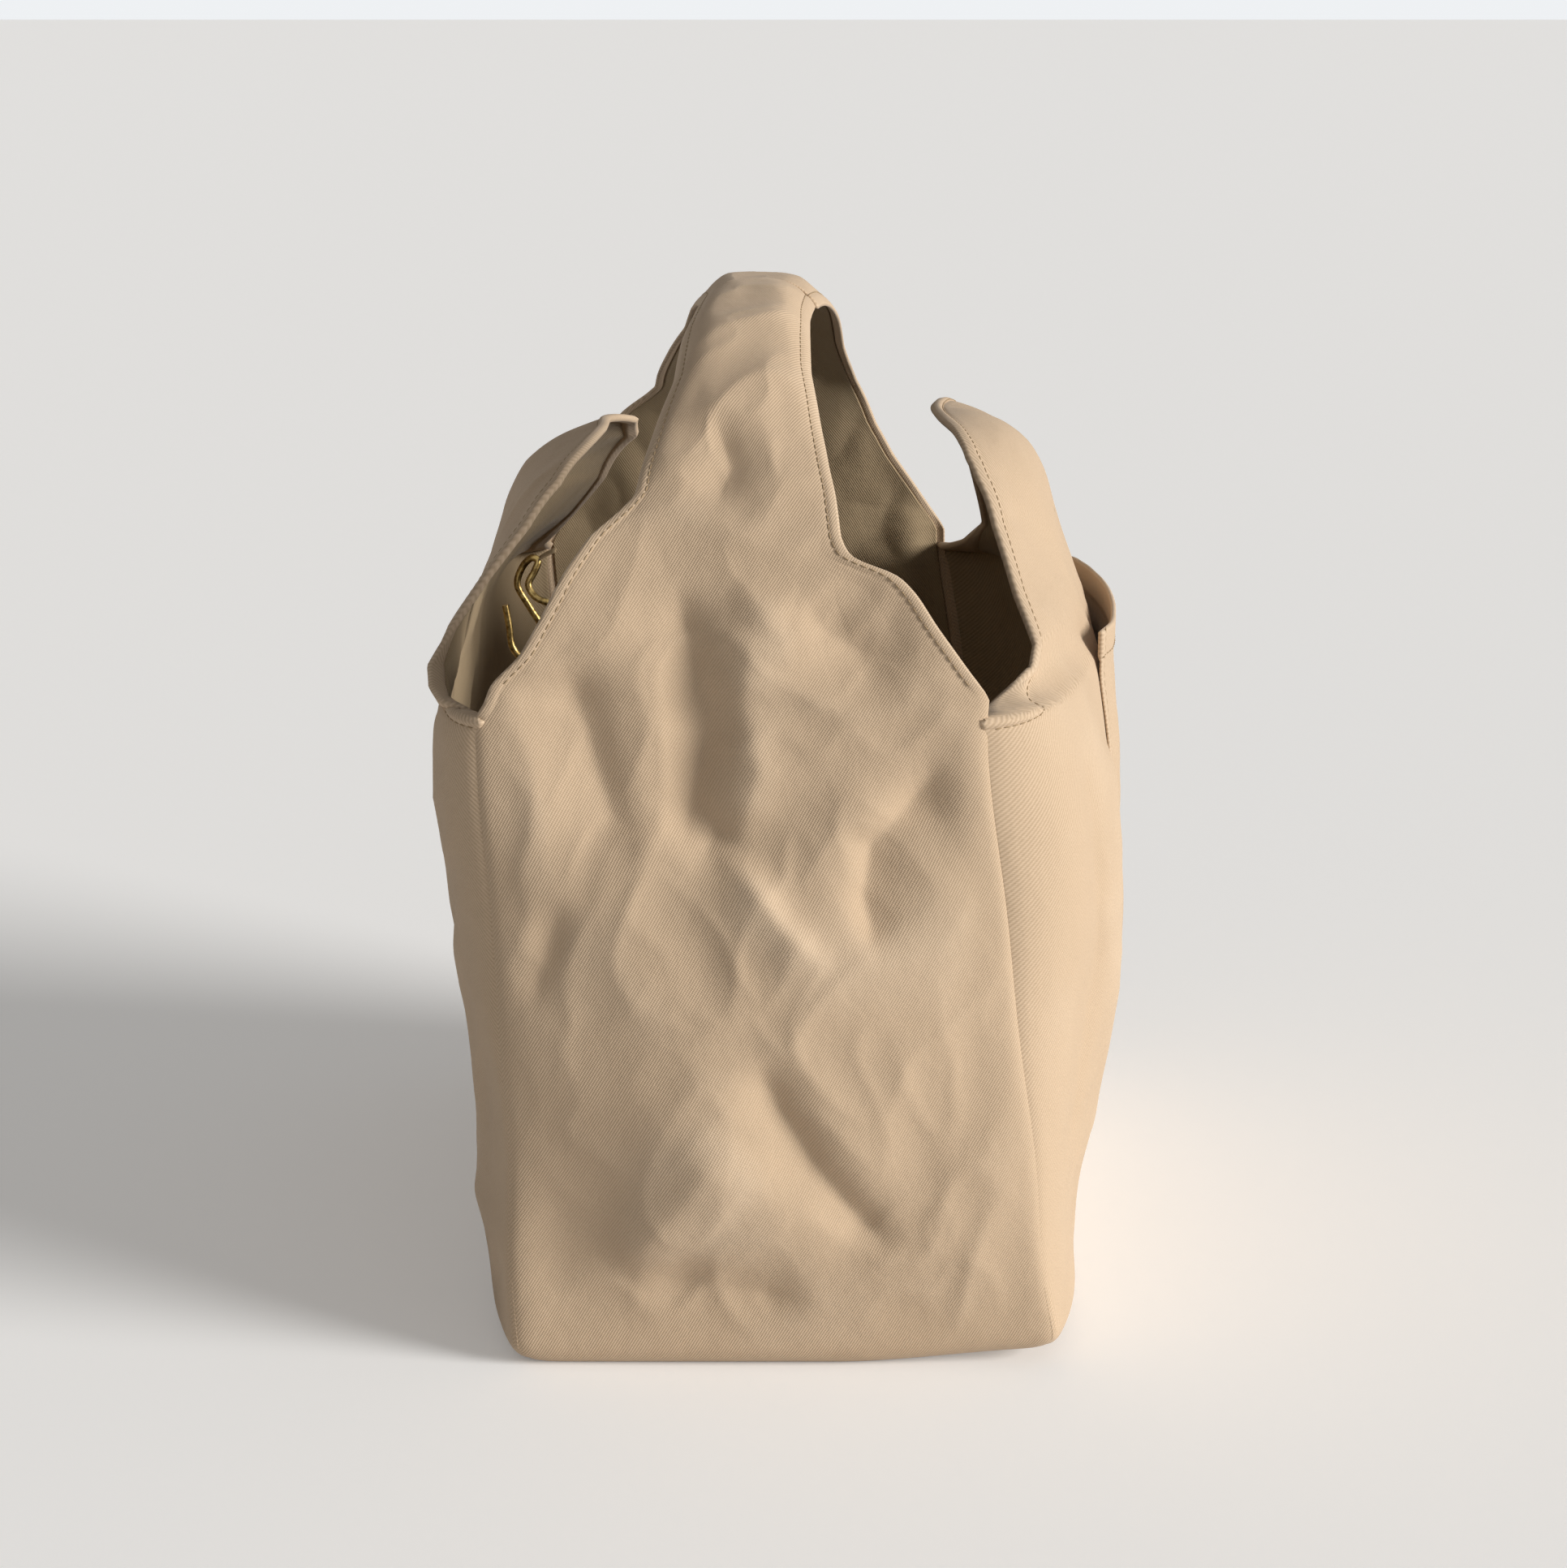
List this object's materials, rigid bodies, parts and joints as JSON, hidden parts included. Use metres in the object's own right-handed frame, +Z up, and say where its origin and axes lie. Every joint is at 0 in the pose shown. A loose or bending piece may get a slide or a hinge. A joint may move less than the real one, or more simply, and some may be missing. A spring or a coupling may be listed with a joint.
{
  "type": "tote bag",
  "caption": "Soft twill tote bag that stands on its base, with one handle over the top, rounded side ears that fold inwards, a patch pocket and a brass wire hook.",
  "frame": {"origin": "middle of the underside of the base, on the surface the bag stands on", "axes": "+Z up; X across the narrow end; Y along the bag, with the front end at -Y; the pocket is on the +X side"},
  "size_m": [0.2436, 0.3178, 0.3439],
  "materials": {
    "twill": "washed cotton twill, matt",
    "lining": "washed cotton twill, matt",
    "board": "plain grey board",
    "brass": "plain brass wire",
    "thread": "cotton thread"
  },
  "bodies": {
    "bag": {"front_panel": "twill", "back_panel": "twill", "left_side_panel": "twill", "right_side_panel": "twill", "base_panel": "twill", "pocket_panel": "twill", "front_lining": "lining", "back_lining": "lining", "left_side_lining": "lining", "right_side_lining": "lining", "base_lining": "lining", "base_board": "board"},
    "left_ear": {"left_ear_panel": "twill", "left_ear_facing": "lining", "wire_hook": "brass", "hook_tack": "thread"},
    "right_ear": {"right_ear_panel": "twill", "right_ear_facing": "lining", "wire_eye": "brass", "eye_tack_front": "thread", "eye_tack_back": "thread"},
    "handle": {"handle_front": "twill", "handle_back": "twill", "handle_lining_front": "lining", "handle_lining_back": "lining"}
  },
  "joints": [
    {"name": "left_ear_fold", "type": "hinge", "parent": "bag", "child": "left_ear", "pos_m": [-0.098, 0, 0.2185], "axis": [0, 1, 0], "range_deg": [0, 50]},
    {"name": "right_ear_fold", "type": "hinge", "parent": "bag", "child": "right_ear", "pos_m": [0.07, 0, 0.2185], "axis": [0, -1, 0], "range_deg": [0, 55]},
    {"name": "handle_sway", "type": "hinge", "parent": "bag", "child": "handle", "pos_m": [-0.012, 0, 0.293], "axis": [0, 1, 0], "range_deg": [-12, 12]}
  ]
}
